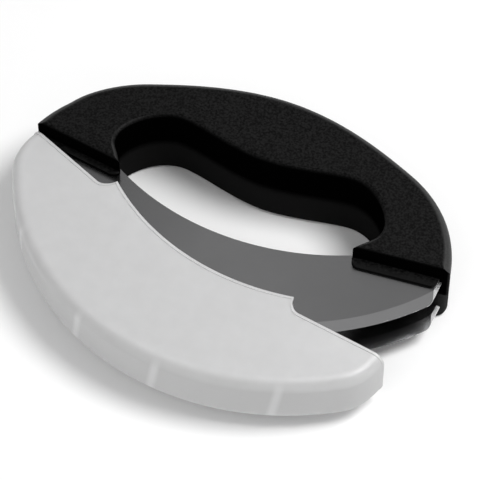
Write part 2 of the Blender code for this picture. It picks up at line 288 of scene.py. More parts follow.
def blended(tree, factor, first, second):
    """A colour that runs from the first to the second with the factor; each is linked or plain."""
    mix = tree.nodes.new("ShaderNodeMix")
    mix.data_type = "RGBA"
    for name, colour in (("A", first), ("B", second)):
        socket = next(item for item in mix.inputs if item.name == name and item.type == "RGBA")
        if isinstance(colour, tuple):
            socket.default_value = (*colour, 1.0)
        else:
            tree.links.new(colour, socket)
    tree.links.new(factor, mix.inputs["Factor"])
    return next(item for item in mix.outputs if item.type == "RGBA")


def relief(tree, shader, source, distance, strength):
    """Raise the surface by a pattern."""
    bump = tree.nodes.new("ShaderNodeBump")
    bump.inputs["Distance"].default_value = distance
    bump.inputs["Strength"].default_value = strength
    tree.links.new(source, bump.inputs["Height"])
    tree.links.new(bump.outputs["Normal"], shader.inputs["Normal"])


def sum_of(tree, first, second, operation="ADD"):
    """Two linked numbers added, or worked out in another way."""
    made = tree.nodes.new("ShaderNodeMath")
    made.operation = operation
    for socket, source in zip(made.inputs, (first, second)):
        if isinstance(source, (int, float)):
            socket.default_value = source
        else:
            tree.links.new(source, socket)
    return made.outputs[0]


def magnitude(tree, source):
    """A linked number without its sign."""
    return sum_of(tree, source, 0.0, "ABSOLUTE")


def vector_sum(tree, operation, *given):
    """Linked or plain vectors worked out in one way."""
    made = tree.nodes.new("ShaderNodeVectorMath")
    made.operation = operation
    for socket, source in zip(made.inputs, given):
        if isinstance(source, tuple):
            socket.default_value = source
        else:
            tree.links.new(source, socket)
    return made.outputs["Value" if operation == "DOT_PRODUCT" else "Vector"]


def arch_knots():
    """Right half of the outer outline, from the crown down past the foot."""
    arch_shares = [
        ((0.000, 0.000), 0.0, 0.000, 0.268),
        ((0.638, 0.256), -23.5, 0.137, 0.264),
        ((1.007, 1.000), -80.8, 0.162, 0.000),
    ]
    knots = []
    for (across, down), degrees, before, after in arch_shares:
        point = (across * half_length, crown_y - down * arch_height)
        knots.append(knot(point, math.radians(degrees), before * half_length, after * half_length))
    return knots


def opening_knots():
    """Right half of the finger opening, from the middle of the grip's bulge to the foot's inner corner."""
    opening_shares = [
        ((0.655, 0.000), 0.0, 0.146, 0.197),
        ((1.000, 0.579), -90.0, 0.102, 0.103),
    ]
    bulge_share = 0.236
    corner_share = 0.132
    width = opening_half
    knots = [knot((0, bulge_y), 0.0, 0.0, bulge_share * width)]
    for (across, down), degrees, before, after in opening_shares:
        point = (across * width, lobe_y - down * opening_height)
        knots.append(knot(point, math.radians(degrees), before * width, after * width))
    knots.append(knot((foot_inner_x, foot_corner_y), corner_direction, corner_share * width, 0.0))
    return knots


def handle_blank(name):
    """The whole D of the handle, rounded on its outer rims, with the opening still filled."""
    outer = arch_knots()
    feet = [corner((outer[-1][0].x, foot_corner_y - overrun))]
    outline = closed(outer + feet)
    return plate(name, outline, 0.0, handle_thickness, rim_rounding, fineness=smooth_steps)


def round_opening(name):
    """Everything round the finger opening, left open at the front, with the opening's rims rounded."""
    reach = half_length + 2 * overrun
    base_y = foot_corner_y - 2 * overrun
    slant = 2 * overrun / math.tan(corner_direction)
    right = opening_knots() + [
        corner((foot_inner_x - slant, base_y)),
        corner((reach, base_y)),
        corner((reach, crown_y + overrun)),
    ]
    low, high = -2 * weld, handle_thickness + 2 * weld
    return plate(name, closed(right), low, high, opening_rounding, fineness=smooth_steps)


def behind_feet(name, rounding):
    """Everything behind the sloping foot lines, with the feet's outer corners and front rims rounded."""
    reach = half_length + overrun
    end, before, _ = arch_knots()[-1]
    up_wall = (before - end).normalized()
    turn_y = foot_y(half_length) + rounding
    on_wall = end + up_wall * (turn_y - end.y) / up_wall.y
    turn_x = half_length - rounding
    right = [
        corner((0, foot_y(0))),
        knot((turn_x, foot_y(turn_x)), foot_slope, 0.0, rounding / 2),
        knot(on_wall, math.atan2(up_wall.y, up_wall.x), rounding / 2, 0.0),
        corner((reach, turn_y - overrun)),
        corner((reach, crown_y + overrun)),
    ]
    return plate(name, closed(right), -weld, handle_thickness + weld, foot_edge)


def tongue(name, side, low, high):
    """Thin tongue in front of one foot, over the blade, with rounded ends."""
    outer = half_length - tongue_end_inset
    inner = foot_inner_x
    turn = inner + tongue_turn
    end = outer - tongue_end_turn
    width = tongue_width if side > 0 else left_tongue_width
    front = foot_y(outer) - width
    knots = [
        corner((outer, foot_y(outer) + overrun / 2)),
        corner((turn, foot_y(turn) + overrun / 2)),
        knot((inner, foot_corner_y), -math.pi / 2, 0.0, tongue_turn / 2),
        knot((turn, foot_y(turn) - width), foot_slope, tongue_turn / 2, 0.0),
        knot((end, foot_y(end) - width), foot_slope, 0.0, tongue_end_turn / 2),
        knot((outer, front + tongue_end_turn), math.pi / 2, tongue_end_turn / 2, 0.0),
    ]
    return plate(name, knots if side > 0 else mirrored(knots), low, high)


def ring(centre, radius):
    """Outline of a round hole."""
    reach = radius * 4 / 3 * math.tan(math.pi / 8)
    knots = []
    for quarter in range(4):
        angle = quarter * math.pi / 2
        point = (centre[0] + radius * math.cos(angle), centre[1] + radius * math.sin(angle))
        knots.append(knot(point, angle + math.pi / 2, reach, reach))
    return knots


blade_spacing = 0.0159
blade_thickness = 0.0013
tang_height = 0.0168
tang_inner_wall = 0.0038
tang_outer_wall = 0.0079
fit_gap = 0.0003
screw_spacing = 0.0090
screw_radius = 0.0016
head_radius = 0.0032
head_height = 0.0018
head_depth = 0.0024
screw_end_cover = 0.0030
pocket_inner_x = opening_half + tang_inner_wall
pocket_outer_x = half_length - tang_outer_wall
tang_top_y = foot_corner_y + tang_height
blade_face = blade_spacing / 2 + blade_thickness / 2
tongue_low = blade_face + tongue_gap
tongue_high = tongue_low + tongue_thickness


def tang_knots(clearance, front):
    """Block inside one foot, right side, from a front line up to the tang's top."""
    inner = pocket_inner_x + clearance
    outer = pocket_outer_x - clearance
    top = tang_top_y - clearance
    return [
        corner((inner, foot_y(inner) - front)),
        corner((outer, foot_y(outer) - front)),
        corner((outer, top)),
        corner((inner, top)),
    ]


screw_x = (pocket_inner_x + pocket_outer_x) / 2
screw_y = (foot_y(screw_x) + tang_top_y) / 2
seats_end_x = screw_x + screw_spacing / 2 + head_radius + 2 * fit_gap
screw_places = [
    (side * (screw_x + step * screw_spacing / 2), screw_y) for side in (-1, 1) for step in (-1, 1)
]


def lengthened(item):
    """Draw the handle's left end out a little, clear of the finger opening and of the screws' seats."""
    reach = half_length - seats_end_x
    for vertex in item.data.vertices:
        past_seats = (-vertex.co.x - seats_end_x) / reach
        past_opening = (-vertex.co.x - opening_half) / (half_length - opening_half)
        above_tang = (vertex.co.y - tang_top_y) / reach
        share = max(past_seats, min(past_opening, 1.0) * min(max(above_tang, 0.0), 1.0))
        vertex.co.x -= end_growth * min(max(share, 0.0), 1.0)


def handle_half(name, side, foot_corner):
    """One moulded half: side is 1 for the half that faces up and -1 for the one that faces down."""

    def levels(first, second):
        return sorted((mid_z + side * first, mid_z + side * second))

    reach = half_length + overrun
    sheet = [corner((-reach, -arch_height * 2)), corner((reach, -arch_height * 2))]
    sheet += [corner((reach, arch_height)), corner((-reach, arch_height))]
    other_half = plate("other_half", sheet, *levels(-handle_thickness, shell_seam))
    half = combine(handle_blank(name), [round_opening("round_opening")], "INTERSECT")
    half = combine(half, [behind_feet("behind_feet", foot_corner)], "INTERSECT")
    half = combine(half, [other_half], "DIFFERENCE")
    lengthened(half)
    tongues = [tongue("tongue", foot, *levels(tongue_low, tongue_high)) for foot in (-1, 1)]
    half = combine(half, tongues, "UNION")
    holes = []
    for foot in (-1, 1):
        pocket = tang_knots(0.0, overrun / 2)
        pocket = pocket if foot > 0 else mirrored(pocket)
        holes.append(plate("pocket", pocket, *levels(-shell_seam, blade_face + fit_gap)))
    half = combine(half, holes, "DIFFERENCE")
    holes = []
    for place in screw_places:
        round_shank = ring(place, screw_radius + fit_gap)
        if side > 0:
            top = handle_thickness - screw_end_cover + fit_gap
            holes.append(plate("hole", round_shank, mid_z, top, fineness=hole_steps))
        else:
            seat = head_depth + head_height + fit_gap
            round_head = ring(place, head_radius + fit_gap)
            holes.append(plate("hole", round_shank, -overrun, mid_z, fineness=hole_steps))
            holes.append(plate("sink", round_head, -overrun, seat, fineness=sink_steps))
    half = combine(half, holes, "DIFFERENCE")
    return soften(half, shell_edge)


opening_turn = (-0.02, -0.004)
wall_turn = (0.3, 0.7)
front_turn = (-0.90, -0.15)
skin_scale = 1200.0
skin_contrast = (0.38, 0.62)
skin_pits = grey(0.0004)
skin_peaks = grey(0.0095)
# Painted shade and light on walls facing the front or the opening: black up high, paler low down as painted
# light from the floor.
wall_light_turn_z = (0.0140, 0.0178)
wall_painted_shade = grey(0.0007)
wall_painted_floor_light = grey(0.0105)
# Painted light on the tongues: dark by the foot's wall, paler towards their front edge.
tongue_light_reach = (0.0012, 0.0046)
tongue_painted_light = grey(0.006)
skin_roughness = (0.48, 0.60)
rim_polish = 0.45
flat_polish = 0.07
flat_turn = (0.94, 0.996)
near_turn = (-0.12, -0.01)
near_polish = 0.22


def moulded_black():
    """Black plastic: mottled skin, rims polished by use, unpolished walls with painted shade and floor
    light, tongues with painted light.
    """
    material, tree, shader = shader_of("moulded_black", tongue_painted_light, 0.5)
    facing = facing_of(tree)
    axes = parts_of(tree, facing)
    place = parts_of(tree, place_of(tree))
    front_y = (0.0, -2 * foot_corner_y, 0.0)
    outward = vector_sum(tree, "MULTIPLY_ADD", place_of(tree), (1.0, 1.0, 0.0), front_y)
    along = vector_sum(tree, "DOT_PRODUCT", outward, facing)
    opening_side = spread(tree, along, 1.0, 0.0, *opening_turn)
    upright = spread(tree, axes["Z"], 1.0, 0.0, *wall_turn)
    opening_wall = sum_of(tree, opening_side, upright, "MULTIPLY")
    front = spread(tree, axes["Y"], 1.0, 0.0, *front_turn)
    # Walls facing the front or the opening take the painted wall colours instead of the skin.
    inner = sum_of(tree, front, opening_wall, "MAXIMUM")
    grained = spread(tree, noise(tree, skin_scale, 4.0), 0.0, 1.0, *skin_contrast)
    skin = blended(tree, grained, skin_pits, skin_peaks)
    # Painted shade high on those walls, painted floor light low down.
    depth = spread(tree, place["Z"], 1.0, 0.0, *wall_light_turn_z)
    walls = blended(tree, depth, wall_painted_shade, wall_painted_floor_light)
    # Painted light on the tongues, growing with the distance in front of the foot line.
    foot_line = sum_of(tree, magnitude(tree, place["X"]), math.tan(foot_slope), "MULTIPLY")
    foot_line = sum_of(tree, foot_line, foot_y(0))
    past_foot = sum_of(tree, foot_line, place["Y"], "SUBTRACT")
    tongue_lit = spread(tree, past_foot, 0.0, 1.0, *tongue_light_reach)
    base = blended(tree, tongue_lit, blended(tree, inner, skin, walls), tongue_painted_light)
    tree.links.new(base, shader.inputs["Base Color"])
    rough = spread(tree, noise(tree, 1500.0, 3.0), *skin_roughness)
    tree.links.new(rough, shader.inputs["Roughness"])
    relief(tree, shader, noise(tree, 2600.0, 2.0), 0.00006, 0.6)
    polish = spread(tree, axes["Z"], rim_polish, flat_polish, *flat_turn)
    polish = sum_of(tree, polish, sum_of(tree, 1.0, inner, "SUBTRACT"), "MULTIPLY")
    near_side = spread(tree, axes["Y"], 1.0, 0.0, *near_turn)
    duller = sum_of(tree, opening_side, near_side, "MAXIMUM")
    polish = sum_of(tree, polish, spread(tree, duller, 1.0, near_polish, 0.0, 1.0), "MULTIPLY")
    tree.links.new(polish, shader.inputs["Specular IOR Level"])
    return material


handle_black = moulded_black()
for node, side in (("upper_shell", 1), ("lower_shell", -1)):
    half = handle_half(node + "_moulding", side, foot_corners[node])
    painted(half, handle_black)
    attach(half, "knife")
    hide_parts(node)


# The blades: two crescents stamped from one sheet of stainless steel and hardened, satin ground on the
# flats and ground from both faces to a thin edge. Their tangs are clamped in the feet, one near each face.
blade_depth = 0.0418
spine_drop = 0.0109
spine_end_rise = 0.00225
edge_end_drop = 0.01493
bevel_width = 0.0050
blade_end_inset = 0.0019
blade_tip_inset = 0.0026
blade_edge = 0.00012
end_trim = 0.0008
end_rounding = 0.0045
end_land = 0.0002
end_bevel = 0.0036
end_steps = 16
wheel_steps = 720
steel_crease = 4.0


def arc_radius(run, rise):
    """Radius of an arc that starts level and has climbed by a rise after a run."""
    return (run * run + rise * rise) / (2 * rise)


blade_end_x = half_length - blade_end_inset
blade_tip_x = blade_end_x - blade_tip_inset
shoulder_x = foot_inner_x + fit_gap * 3
spine_low_y = foot_corner_y - spine_drop
edge_low_y = spine_low_y - blade_depth
edge_radius = arc_radius(blade_tip_x, foot_y(blade_end_x) - edge_end_drop - edge_low_y)
spine_radius = arc_radius(shoulder_x, spine_drop + spine_end_rise)
edge_centre_y = edge_low_y + edge_radius


def arc(low_y, radius, end, pieces):
    """Knots of a circular arc that starts level on the middle line at its lowest point."""
    step = end / pieces
    reach = abs(math.tan(step / 4)) * radius * 4 / 3
    knots = []
    for index in range(pieces + 1):
        angle = step * index
        point = (radius * math.sin(angle), low_y + radius * (1 - math.cos(angle)))
        knots.append(knot(point, angle, reach if index else 0.0, reach if index < pieces else 0.0))
    return knots


def blade_outline():
    """Blade with its two tangs, reaching past the ground edge, which the edge wheel trims."""
    spine = arc(spine_low_y, spine_radius, math.asin(shoulder_x / spine_radius), 2)
    inner = foot_inner_x - fit_gap
    tang = tang_knots(fit_gap, fit_gap)
    beyond = blade_end_x + overrun
    right = spine + [
        corner((inner, foot_y(inner) - fit_gap)),
        tang[0],
        tang[3],
        tang[2],
        tang[1],
        corner((beyond, foot_y(beyond) - fit_gap)),
        corner((beyond, edge_low_y - overrun)),
    ]
    return closed(right)


def end_wheel(name, side, height):
    """Everything inside one rounded end of a blade, sloping in to both faces like a ground bevel."""
    centre_x = blade_end_x - end_trim - end_rounding
    centre_y = edge_centre_y - math.sqrt((edge_radius - end_rounding) ** 2 - centre_x**2)
    last = math.atan2(centre_y - edge_centre_y, centre_x)
    rings = []
    land = end_land / blade_thickness
    for inset, level in ((end_bevel, -1), (0.0, -land), (0.0, land), (end_bevel, 1)):
        radius = end_rounding - inset
        line = [(centre_x + radius, handle_thickness)]
        for step in range(end_steps + 1):
            angle = last * step / end_steps
            line.append((centre_x + radius * math.cos(angle), centre_y + radius * math.sin(angle)))
        run = 2 * half_length
        line.append((line[-1][0] + run * math.sin(last), line[-1][1] - run * math.cos(last)))
        line += [(-2 * run, line[-1][1]), (-2 * run, handle_thickness)]
        rings.append([(side * x, y, height + level * blade_thickness) for x, y in line])
    count = len(rings[0])
    faces = [tuple(range(count)), tuple(range(4 * count - 1, 3 * count - 1, -1))]
    for ring_index in range(3):
        for index in range(count):
            after = (index + 1) % count
            low, high = ring_index * count, (ring_index + 1) * count
            faces.append((low + index, high + index, high + after, low + after))
    mesh = bpy.data.meshes.new(name)
    mesh.from_pydata([point for line in rings for point in line], [], faces)
    shape = bmesh.new()
    shape.from_mesh(mesh)
    bmesh.ops.recalc_face_normals(shape, faces=shape.faces[:])
    shape.to_mesh(mesh)
    shape.free()
    item = bpy.data.objects.new(name, mesh)
    bpy.context.scene.collection.objects.link(item)
    return item


def turned(name, profile, steps):
    """A solid turned about Z from a profile of (radius, height) points, top to bottom."""
    mesh = bpy.data.meshes.new(name)
    edges = [(index, index + 1) for index in range(len(profile) - 1)]
    mesh.from_pydata([(radius, 0, height) for radius, height in profile], edges, [])
    item = bpy.data.objects.new(name, mesh)
    bpy.context.scene.collection.objects.link(item)
    screw = item.modifiers.new("turn", "SCREW")
    screw.axis = "Z"
    screw.steps = steps
    screw.render_steps = steps
    screw.use_merge_vertices = True
    screw.merge_threshold = weld
    return item


def ground_blade(name, height):
    """One crescent blade, ground to an edge from both faces."""
    low = mid_z + height - blade_thickness / 2
    blank = plate(name, blade_outline(), low, low + blade_thickness, fineness=smooth_steps)
    tall = blade_thickness
    shoulder = edge_radius - bevel_width * tall / (blade_thickness / 2)
    profile = [(0, tall), (shoulder, tall), (edge_radius, 0), (shoulder, -tall), (0, -tall)]
    wheel = turned("edge_wheel", profile, wheel_steps)
    wheel.location = (0, edge_centre_y, mid_z + height)
    wheels = [plain(wheel)] + [end_wheel("end_wheel", side, mid_z + height) for side in (-1, 1)]
    blade = combine(blank, wheels, "INTERSECT")
    ends = [low - blade_thickness, low + blade_thickness * 2]
    rings = [ring(place, screw_radius + fit_gap) for place in screw_places]
    holes = [plate("hole", outline, *ends, fineness=hole_steps) for outline in rings]
    return soften(combine(blade, holes, "DIFFERENCE"), blade_edge, crease=steel_crease)


steel_grey = (0.44, 0.44, 0.445)
steel_light = (0.45, 0.45, 0.455)
steel_dark = (0.43, 0.43, 0.435)
steel_painted_shade = (0.29, 0.29, 0.295)
steel_painted_highlight = (0.94, 0.94, 0.945)
# Painted shade: the flats grow darker towards both ends, most at the left.
left_shade_x = (-0.060, -0.005)
right_shade_x = (0.020, 0.070)
right_shade = 0.4
end_turn = (0.17, 0.27)
steel_roughness = (0.17, 0.20)

steel, tree, shader = shader_of("satin_ground_steel", steel_grey, 0.19, 1.0)
cloud = spread(tree, noise(tree, 60.0, 2.0), 0.0, 1.0)
place = parts_of(tree, place_of(tree))
# Painted shade towards the blade's ends.
left_end = spread(tree, place["X"], 1.0, 0.0, *left_shade_x)
right_end = spread(tree, place["X"], 0.0, right_shade, *right_shade_x)
ends = sum_of(tree, left_end, right_end)
colour = blended(tree, ends, blended(tree, cloud, steel_dark, steel_light), steel_painted_shade)
# Painted highlight on faces turned along the blade, such as the ends' bevels.
sideways = magnitude(tree, parts_of(tree, facing_of(tree))["X"])
colour = blended(tree, spread(tree, sideways, 0.0, 1.0, *end_turn), colour, steel_painted_highlight)
tree.links.new(colour, shader.inputs["Base Color"])
grain = noise(tree, 260.0, 3.0, (1.0, 9.0, 9.0))
tree.links.new(spread(tree, grain, *steel_roughness), shader.inputs["Roughness"])
relief(tree, shader, noise(tree, 1200.0, 2.0, (1.0, 12.0, 12.0)), 0.000002, 0.15)

for node, height in (("upper_blade", blade_spacing / 2), ("lower_blade", -blade_spacing / 2)):
    blade = ground_blade(node + "_ground", height)
    painted(blade, steel)
    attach(blade, "knife")
    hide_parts(node)


# The spacers: one moulded block in each foot that keeps the two tangs apart, of the same plastic as the
# handle but left rougher, because only its front shows between the blades.
block_black = (0.008, 0.008, 0.0085)
block_dark = grey(0.002)
block_light = grey(0.006)

block, tree, shader = shader_of("black_spacer_plastic", block_black, 0.62)
mottle = spread(tree, noise(tree, 700.0, 3.0), 0.0, 1.0)
tree.links.new(blended(tree, mottle, block_dark, block_light), shader.inputs["Base Color"])
relief(tree, shader, noise(tree, 2200.0, 2.0), 0.00005, 0.5)
shader.inputs["Specular IOR Level"].default_value = 0.1
for node in ("left_spacer", "right_spacer"):
    painted(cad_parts[node], block)


# The foot screws: four zinc-plated machine screws, two in each foot, driven from the lower face through
# both tangs and the spacer. Their cross-recessed heads sit in sinks.
recess_span = 0.0036
recess_width = 0.0007
recess_depth = 0.0010
head_chamfer = 0.0005
screw_sides = 40
zinc_grey = (0.50, 0.50, 0.51)
zinc_dark = (0.42, 0.42, 0.43)
zinc_light = (0.56, 0.56, 0.565)


def new_tree(name, sizes):
    """A geometry node tree with one geometry in, one out, and a named input for each size."""
    tree = bpy.data.node_groups.new(name, "GeometryNodeTree")
    face = tree.interface
    face.new_socket(name="Geometry", in_out="INPUT", socket_type="NodeSocketGeometry")
    for size in sizes:
        face.new_socket(name=size, in_out="INPUT", socket_type="NodeSocketFloat")
    face.new_socket(name="Geometry", in_out="OUTPUT", socket_type="NodeSocketGeometry")
    return tree


def step(tree, kind, values=(), links=(), **settings):
    """Add a node, set its settings and values by socket name, and link other sockets into it."""
    made = tree.nodes.new(kind)
    for key, value in settings.items():
        setattr(made, key, value)
    for socket, value in dict(values).items():
        made.inputs[socket].default_value = value
    for socket, source in dict(links).items():
        tree.links.new(source, made.inputs[socket])
    return made


def vector(tree, x=None, y=None, z=None):
    """A vector from up to three linked numbers."""
    links = {name: source for name, source in (("X", x), ("Y", y), ("Z", z)) if source is not None}
    return step(tree, "ShaderNodeCombineXYZ", links=links).outputs[0]


def moved(tree, geometry, place):
    """A geometry shifted by a linked vector."""
    return step(
        tree, "GeometryNodeTransform", links={"Geometry": geometry, "Translation": place}
    ).outputs["Geometry"]


def grow(name, points, tree, sizes, material, turns=None):
    """Run a tree on a set of points and keep the result as a plain mesh of one material."""
    mesh = bpy.data.meshes.new(name)
    mesh.from_pydata(points, [], [])
    if turns is not None:
        attribute = mesh.attributes.new("turn", "FLOAT", "POINT")
        attribute.data.foreach_set("value", turns)
    item = bpy.data.objects.new(name, mesh)
    bpy.context.scene.collection.objects.link(item)
    modifier = item.modifiers.new(tree.name, "NODES")
    modifier.node_group = tree
    for socket in tree.interface.items_tree:
        if socket.in_out == "INPUT" and socket.name in sizes:
            modifier[socket.identifier] = sizes[socket.name]
    made = plain(item)
    painted(made, material)
    return made


def finish_tree(tree, instances, material):
    """End a tree in real geometry of one material."""
    real = step(tree, "GeometryNodeRealizeInstances", links={"Geometry": instances}).outputs[0]
    dressed = step(tree, "GeometryNodeSetMaterial", links={"Geometry": real})
    dressed.inputs["Material"].default_value = material
    end = tree.nodes.new("NodeGroupOutput")
    tree.links.new(dressed.outputs[0], end.inputs[0])


def screw_tree(material):
    """A screw on every point: shank, chamfered head and a cross recess cut into the head from below."""
    names = ("shank radius", "tip", "head radius", "head low", "head high", "chamfer", "recess span")
    tree = new_tree("foot_screw", names + ("recess width", "recess depth"))
    given = tree.nodes.new("NodeGroupInput").outputs

    def drum(low, high, bottom, top):
        tall = sum_of(tree, high, low, "SUBTRACT")
        links = {"Radius Top": top, "Radius Bottom": bottom, "Depth": tall}
        cone = step(tree, "GeometryNodeMeshCone", {"Vertices": screw_sides}, links).outputs["Mesh"]
        return moved(tree, cone, vector(tree, z=low))

    chamfer_top = sum_of(tree, given["head low"], given["chamfer"])
    narrow = sum_of(tree, given["head radius"], given["chamfer"], "SUBTRACT")
    rim = drum(given["head low"], chamfer_top, narrow, given["head radius"])
    head = drum(chamfer_top, given["head high"], given["head radius"], given["head radius"])
    shank = drum(given["head high"], given["tip"], given["shank radius"], given["shank radius"])
    whole = step(tree, "GeometryNodeMeshBoolean", operation="UNION", solver="EXACT")
    for part in (rim, head, shank):
        tree.links.new(part, whole.inputs["Mesh 2"])
    deep = sum_of(tree, given["recess depth"], 2.0, "MULTIPLY")
    span, width = given["recess span"], given["recess width"]
    cutters = []
    for wide, long in ((span, width), (width, span)):
        bar = step(tree, "GeometryNodeMeshCube", links={"Size": vector(tree, wide, long, deep)})
        cutters.append(moved(tree, bar.outputs["Mesh"], vector(tree, z=given["head low"])))
    cut = step(tree, "GeometryNodeMeshBoolean", operation="DIFFERENCE", solver="EXACT")
    tree.links.new(whole.outputs["Mesh"], cut.inputs["Mesh 1"])
    for bar in cutters:
        tree.links.new(bar, cut.inputs["Mesh 2"])
    flat = step(tree, "GeometryNodeSetShadeSmooth", {"Shade Smooth": False})
    tree.links.new(cut.outputs["Mesh"], flat.inputs["Geometry"])
    placed = step(tree, "GeometryNodeInstanceOnPoints")
    tree.links.new(given["Geometry"], placed.inputs["Points"])
    tree.links.new(flat.outputs[0], placed.inputs["Instance"])
    finish_tree(tree, placed.outputs["Instances"], material)
    return tree


zinc, tree, shader = shader_of("zinc_plated_screw_steel", zinc_grey, 0.32, 1.0)
speck = noise(tree, 1800.0, 3.0)
colour = blended(tree, spread(tree, speck, 0.0, 1.0), zinc_dark, zinc_light)
tree.links.new(colour, shader.inputs["Base Color"])
tree.links.new(spread(tree, speck, 0.26, 0.42), shader.inputs["Roughness"])

screw_sizes = {
    "shank radius": screw_radius,
    "tip": handle_thickness - screw_end_cover,
    "head radius": head_radius,
    "head low": head_depth,
    "head high": head_depth + head_height,
    "chamfer": head_chamfer,
    "recess span": recess_span,
    "recess width": recess_width,
    "recess depth": recess_depth,
}
points = [(x, y, 0.0) for x, y in screw_places]
screws = grow("foot_screws", points, screw_tree(zinc), screw_sizes, zinc)
screws = soften(screws, head_chamfer / 10, least=50.0)
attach(screws, "knife")
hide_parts("foot_screw_1", "foot_screw_2", "foot_screw_3", "foot_screw_4")


# The blade cover: a channel moulded in clouded white plastic, closed round the cutting edges and open
# towards the grip, with thin walls that let a little light through. It slips loosely over both blades
# from the front, and lies swung half off about the handle's left tip.
cover_wall = 0.0014
cover_face_wall = 0.0013
cover_rounding = 0.0050
cover_inner_rounding = 0.0019
cover_edge_clearance = 0.0008
cover_end_clearance = 0.0004
cover_tongue_clearance = 0.0003
cover_foot_gap = 0.0004
cover_overlap = 0.0050
horn_inset = 0.0056
horn_rise = 0.00474
cover_end_height = 0.0035
cover_end_run = 0.0042
cover_edge = 0.0003
lip_width = 0.0011
lip_height = 0.0004
hinge_inset = 0.0006
hinge_rise = 0.0083
cover_swing = math.radians(14.6)
rib_angles = [math.radians(angle) for angle in (-35.5, -10.0, 10.0, 35.5)]
streak_shift = 0.002
streak_lean = 1.6

inner_height = tongue_high + cover_tongue_clearance
outer_height = inner_height + cover_face_wall
inner_radius = edge_radius + cover_edge_clearance
inner_end_x = blade_end_x + cover_end_clearance
horn_x = foot_inner_x - horn_inset
mouth_low_y = spine_low_y + cover_overlap
mouth_radius = arc_radius(horn_x, foot_corner_y + horn_rise - mouth_low_y)
hinge = Vector((-(half_length - hinge_inset), foot_y(half_length) + hinge_rise, 0))
swing = Matrix.Translation(hinge) @ Matrix.Rotation(-cover_swing, 4, "Z") @ Matrix.Translation(-hinge)


def crescent(name, radius, end_x, top_y, low, high, rounding):
    """Crescent round the cutting edges, closed straight across above the cover's mouth."""
    bend_y = foot_y(end_x) - cover_foot_gap - cover_end_height
    edge = arc(edge_centre_y - radius, radius, math.asin((end_x - cover_end_run) / radius), 3)
    place, before, _ = edge[-1]
    reach = (Vector((end_x, bend_y)) - place).length / 3
    edge[-1] = (place, before, place + (place - before).normalized() * reach)
    right = edge + [knot((end_x, bend_y), math.pi / 2, reach, 0.0), corner((end_x, top_y))]
    return plate(name, closed(right), low, high, rounding, fineness=smooth_steps)


def mouth():
    """Everything above the cover's concave mouth, its horns and its straight foot edges."""
    edge = arc(mouth_low_y, mouth_radius, math.asin(horn_x / mouth_radius), 2)
    reach = half_length + overrun
    notch_x = foot_inner_x + fit_gap * 2
    notch_reach = (notch_x - horn_x) / 2
    place, before, _ = edge[-1]
    edge[-1] = (place, before, place + Vector((0, -notch_reach / 2)))
    right = edge + [
        knot((notch_x, foot_y(notch_x) - cover_foot_gap), foot_slope, notch_reach, 0.0),
        corner((reach, foot_y(reach) - cover_foot_gap)),
        corner((reach, crown_y + overrun)),
    ]
    return plate("mouth", closed(right), -overrun, handle_thickness + overrun, fineness=smooth_steps)


def cover_channel(name):
    """The closed channel, before it swings."""
    ends = (mid_z - outer_height, mid_z + outer_height)
    size = (inner_radius + cover_wall, inner_end_x + cover_wall, lobe_y)
    outside = crescent(name, *size, *ends, cover_rounding)
    lip = crescent("lip", *size, ends[0] - lip_height, ends[1] + lip_height, cover_rounding)
    strip = mouth()
    strip.data.transform(Matrix.Translation((0, -lip_width, 0)))
    outside = combine(outside, [combine(lip, [strip], "INTERSECT")], "UNION")
    ends = (mid_z - inner_height, mid_z + inner_height)
    inside = crescent("inside", inner_radius, inner_end_x, crown_y, *ends, cover_inner_rounding)
    return soften(combine(outside, [inside, mouth()], "DIFFERENCE"), cover_edge)


cloud_dark = (0.64, 0.64, 0.643)
cloud_light = (0.67, 0.67, 0.674)
# Painted shade on the cover's upright faces.
rim_painted_shade = (0.53, 0.53, 0.532)
# Painted light: the rim is paler in a leaning streak over each rib.
streak_painted_light = (0.66, 0.66, 0.663)
streak_fade = (0.006, 0.022)
face_turn = (0.1, 0.95)
cover_roughness = (0.34, 0.44)

clouded, tree, shader = shader_of("clouded_white_plastic", streak_painted_light, 0.38)
cloud = spread(tree, noise(tree, 140.0, 4.0), 0.0, 1.0)
closed_place = tree.nodes.new("ShaderNodeMapping")
closed_place.inputs["Location"].default_value = swing.inverted().to_translation()
closed_place.inputs["Rotation"].default_value = swing.inverted().to_euler()
tree.links.new(place_of(tree), closed_place.inputs["Vector"])
place = parts_of(tree, closed_place.outputs["Vector"])
fall = sum_of(tree, edge_centre_y, place["Y"], "SUBTRACT")
turn = sum_of(tree, place["X"], fall, "ARCTAN2")
lean = sum_of(tree, sum_of(tree, place["Z"], streak_lean, "MULTIPLY"), streak_shift)
turn = sum_of(tree, turn, lean, "SUBTRACT")
# Painted light in a streak over each rib, which lifts the rim's painted shade.
streaks = None
for angle in rib_angles:
    away = magnitude(tree, sum_of(tree, turn, angle, "SUBTRACT"))
    streak = spread(tree, away, 1.0, 0.0, *streak_fade)
    streaks = streak if streaks is None else sum_of(tree, streaks, streak)
rim = blended(tree, streaks, rim_painted_shade, streak_painted_light)
# Painted shade: upright faces take the darker rim colour, flat faces the clouded tone.
level = magnitude(tree, parts_of(tree, facing_of(tree))["Z"])
level = spread(tree, level, 0.0, 1.0, *face_turn)
colour = blended(tree, level, rim, blended(tree, cloud, cloud_dark, cloud_light))
tree.links.new(colour, shader.inputs["Base Color"])
tree.links.new(spread(tree, noise(tree, 700.0, 3.0), *cover_roughness), shader.inputs["Roughness"])
relief(tree, shader, noise(tree, 1400.0, 2.0), 0.00002, 0.3)
shader.inputs["Transmission Weight"].default_value = 0.1
shader.inputs["Subsurface Weight"].default_value = 0.6
shader.inputs["Subsurface Radius"].default_value = (1.0, 1.0, 1.0)
shader.inputs["Subsurface Scale"].default_value = 0.005
shader.inputs["IOR"].default_value = 1.45

cover = cover_channel("blade_cover_channel")
cover.data.transform(swing)
painted(cover, clouded)
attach(cover, "cover")
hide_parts("blade_cover")


